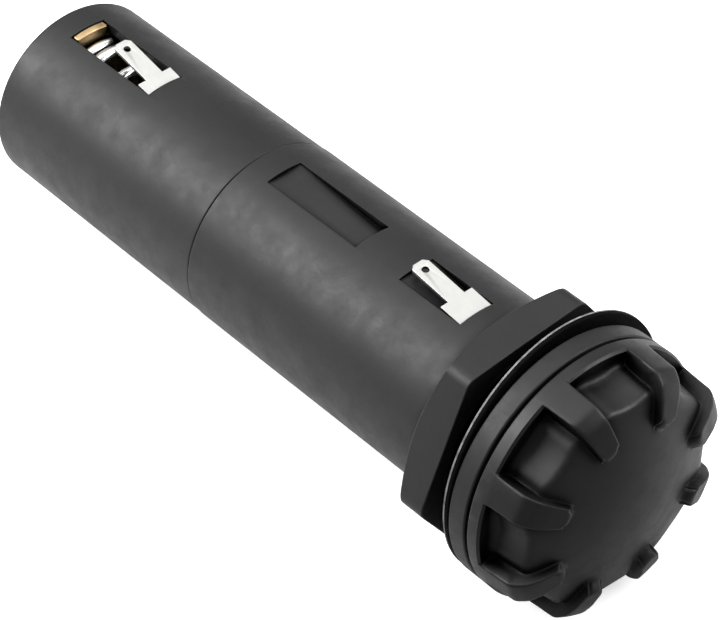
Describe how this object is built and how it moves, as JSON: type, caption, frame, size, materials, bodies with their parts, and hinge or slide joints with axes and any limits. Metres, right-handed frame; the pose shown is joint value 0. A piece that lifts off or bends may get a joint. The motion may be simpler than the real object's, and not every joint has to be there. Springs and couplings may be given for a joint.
{
  "type": "cartridge fuse holder",
  "caption": "Panel-mount cartridge fuse holder: long round barrel with two tabs, gasket and hexagonal nut, and a ribbed bayonet knob that draws the fuse out.",
  "frame": {"origin": "on the barrel's axis, in the plane where the gasket seats on the panel's front face", "axes": "+Y along the barrel from the knob to the closed rear end, +Z towards the side with the two tabs, +X to the right when looking along +Y with the tabs up"},
  "size_m": [0.039, 0.114, 0.038],
  "materials": {
    "housing_plastic": "satin black moulded thermoplastic, finely mottled",
    "nut_plastic": "satin black moulded thermoplastic with worn corners",
    "knob_plastic": "satin black moulded thermoplastic",
    "carrier_plastic": "matt black moulded thermoplastic",
    "rubber": "soft matt black rubber",
    "tinned_tabs": "tin-plated brass strip, satin",
    "contact_brass": "turned brass, slightly tarnished",
    "clip_bronze": "spring bronze strip",
    "spring_steel": "bright drawn spring wire",
    "nickel_caps": "nickel-plated pressed caps",
    "fuse_ceramic": "unglazed white steatite",
    "element_silver": "rolled silver strip",
    "quartz_sand": "packed quartz sand"
  },
  "bodies": {
    "housing": {"front_barrel": "housing_plastic", "rear_sleeve": "housing_plastic", "panel_gasket": "rubber", "front_contact": "contact_brass", "front_terminal": "tinned_tabs", "rear_contact_sleeve": "contact_brass", "rear_terminal": "tinned_tabs", "terminal_rivets": "contact_brass", "spring_seat": "contact_brass", "contact_spring": "spring_steel"},
    "fuse_carriage": {"fuse_carrier": "carrier_plastic", "fuse_clip": "clip_bronze", "clip_rivet": "contact_brass", "fuse_front_cap": "nickel_caps", "fuse_rear_cap": "nickel_caps", "fuse_inner_caps": "nickel_caps", "fuse_tube": "fuse_ceramic", "fuse_element": "element_silver", "fuse_filler": "quartz_sand"},
    "knob": {"knob_cap": "knob_plastic", "cap_seal": "rubber", "carrier_ring": "spring_steel"},
    "plunger": {"contact_plunger": "contact_brass"},
    "nut": {"panel_nut": "nut_plastic"}
  },
  "joints": [
    {"name": "carriage_withdraw", "type": "slide", "parent": "housing", "child": "fuse_carriage", "axis": [0, -1, 0], "range_m": [0, 0.075]},
    {"name": "knob_twist", "type": "hinge", "parent": "fuse_carriage", "child": "knob", "pos_m": [0, 0, 0], "axis": [0, 1, 0], "range_deg": [0, 42]},
    {"name": "plunger_travel", "type": "slide", "parent": "housing", "child": "plunger", "axis": [0, -1, 0], "range_m": [0, 0.004], "deforming": ["contact_spring"]},
    {"name": "nut_turn", "type": "hinge", "parent": "housing", "child": "nut", "pos_m": [0, 0, 0], "axis": [0, -1, 0], "range_deg": [-552, 408]}
  ],
  "couplings": [
    {"joint": "plunger_travel", "follows": "carriage_withdraw", "ratio": 0.0533}
  ]
}
